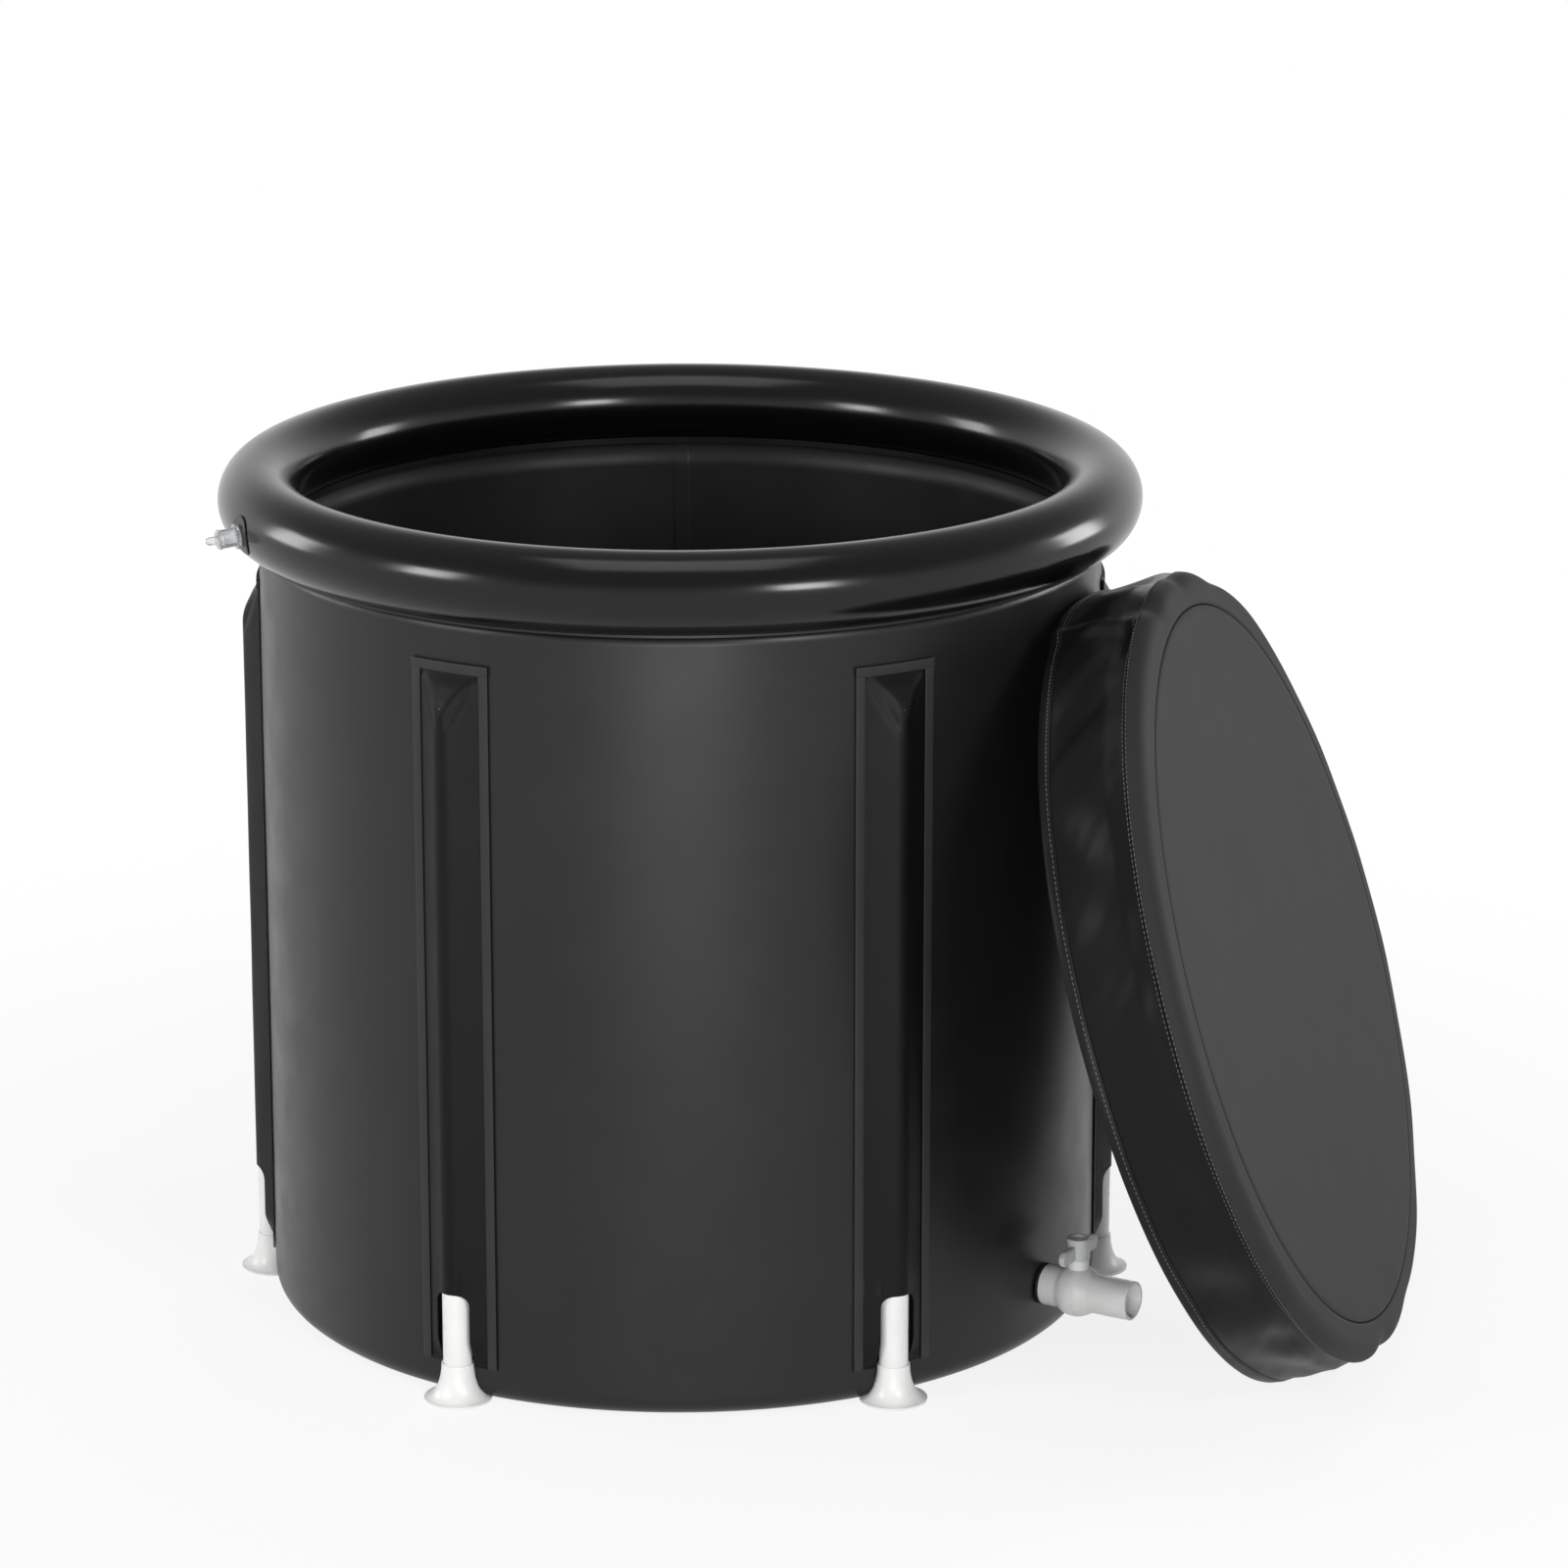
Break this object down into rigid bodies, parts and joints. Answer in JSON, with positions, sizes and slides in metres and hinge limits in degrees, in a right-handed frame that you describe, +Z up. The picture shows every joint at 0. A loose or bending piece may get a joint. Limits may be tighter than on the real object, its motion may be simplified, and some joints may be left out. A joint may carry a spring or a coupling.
{
  "type": "cold plunge tub",
  "caption": "Round portable soaking tub with an insulated soft wall, inflated top ring, plug-in pipe legs in welded sleeves, a ball-valve drain and a soft lid leaning beside it.",
  "frame": {"origin": "centre of the tub base, on the floor", "axes": "+Z up along the tub axis, +X through the leg on the right of the picture, -Y towards the viewer"},
  "size_m": [1.0503, 0.9397, 0.75],
  "materials": {
    "wall_vinyl": "satin black PVC tarpaulin, welded",
    "ring_vinyl": "smooth black PVC, blown tight, soft gloss",
    "sleeve_vinyl": "satin black PVC sheet, welded at its border",
    "band_vinyl": "dark grey welded border, fine pressed texture",
    "lid_vinyl": "charcoal coated cloth with a leather grain, sewn",
    "insulating_foam": "closed-cell foam sheet",
    "white_pvc": "white moulded and extruded PVC, satin",
    "valve_plastic": "white acetal valve parts",
    "clear_grey_plastic": "translucent light grey moulded plastic",
    "clear_vinyl": "clear soft vinyl valve",
    "seal_rubber": "black rubber"
  },
  "bodies": {
    "tub": {"outer_wall": "wall_vinyl", "foam_wall": "insulating_foam", "inner_liner": "wall_vinyl", "base_skin": "wall_vinyl", "foam_base": "insulating_foam", "ring_weld_strip": "wall_vinyl", "top_ring": "ring_vinyl", "leg_tube_1": "white_pvc", "leg_foot_1": "white_pvc", "leg_cap_1": "white_pvc", "leg_sleeve_1": "sleeve_vinyl", "sleeve_band_1": "band_vinyl", "leg_tube_2": "white_pvc", "leg_foot_2": "white_pvc", "leg_cap_2": "white_pvc", "leg_sleeve_2": "sleeve_vinyl", "sleeve_band_2": "band_vinyl", "leg_tube_3": "white_pvc", "leg_foot_3": "white_pvc", "leg_cap_3": "white_pvc", "leg_sleeve_3": "sleeve_vinyl", "sleeve_band_3": "band_vinyl", "leg_tube_4": "white_pvc", "leg_foot_4": "white_pvc", "leg_cap_4": "white_pvc", "leg_sleeve_4": "sleeve_vinyl", "sleeve_band_4": "band_vinyl", "leg_tube_5": "white_pvc", "leg_foot_5": "white_pvc", "leg_cap_5": "white_pvc", "leg_sleeve_5": "sleeve_vinyl", "sleeve_band_5": "band_vinyl", "leg_tube_6": "white_pvc", "leg_foot_6": "white_pvc", "leg_cap_6": "white_pvc", "leg_sleeve_6": "sleeve_vinyl", "sleeve_band_6": "band_vinyl", "drain_bulkhead": "white_pvc", "drain_inner_gasket": "seal_rubber", "drain_outer_gasket": "seal_rubber", "drain_valve_body": "white_pvc", "drain_valve_outlet": "white_pvc", "drain_seat_inlet": "valve_plastic", "drain_seat_outlet": "valve_plastic", "drain_stem_seal": "seal_rubber", "air_valve_stem": "clear_vinyl", "air_valve_patch": "wall_vinyl"},
    "drain_turn": {"drain_handle": "clear_grey_plastic", "drain_stem": "valve_plastic", "drain_ball": "valve_plastic"},
    "air_plug": {"air_valve_plug": "clear_vinyl"},
    "lid": {"lid_top_panel": "lid_vinyl", "lid_shoulder": "lid_vinyl", "lid_foam": "insulating_foam", "lid_lining": "lid_vinyl", "lid_skirt": "lid_vinyl", "lid_hem": "lid_vinyl"}
  },
  "joints": [
    {"name": "drain_handle_turn", "type": "hinge", "parent": "tub", "child": "drain_turn", "pos_m": [0.34511, -0.19925, 0.053], "axis": [0, 0, 1], "range_deg": [0, 90]},
    {"name": "air_plug_pull", "type": "slide", "parent": "tub", "child": "air_plug", "axis": [-0.9155, -0.3886, -0.1045], "range_m": [0, 0.018]},
    {"name": "lid_slide", "type": "slide", "parent": "tub", "child": "lid", "axis": [0.9636, -0.2672, 0], "range_m": [0, 0.2]}
  ]
}
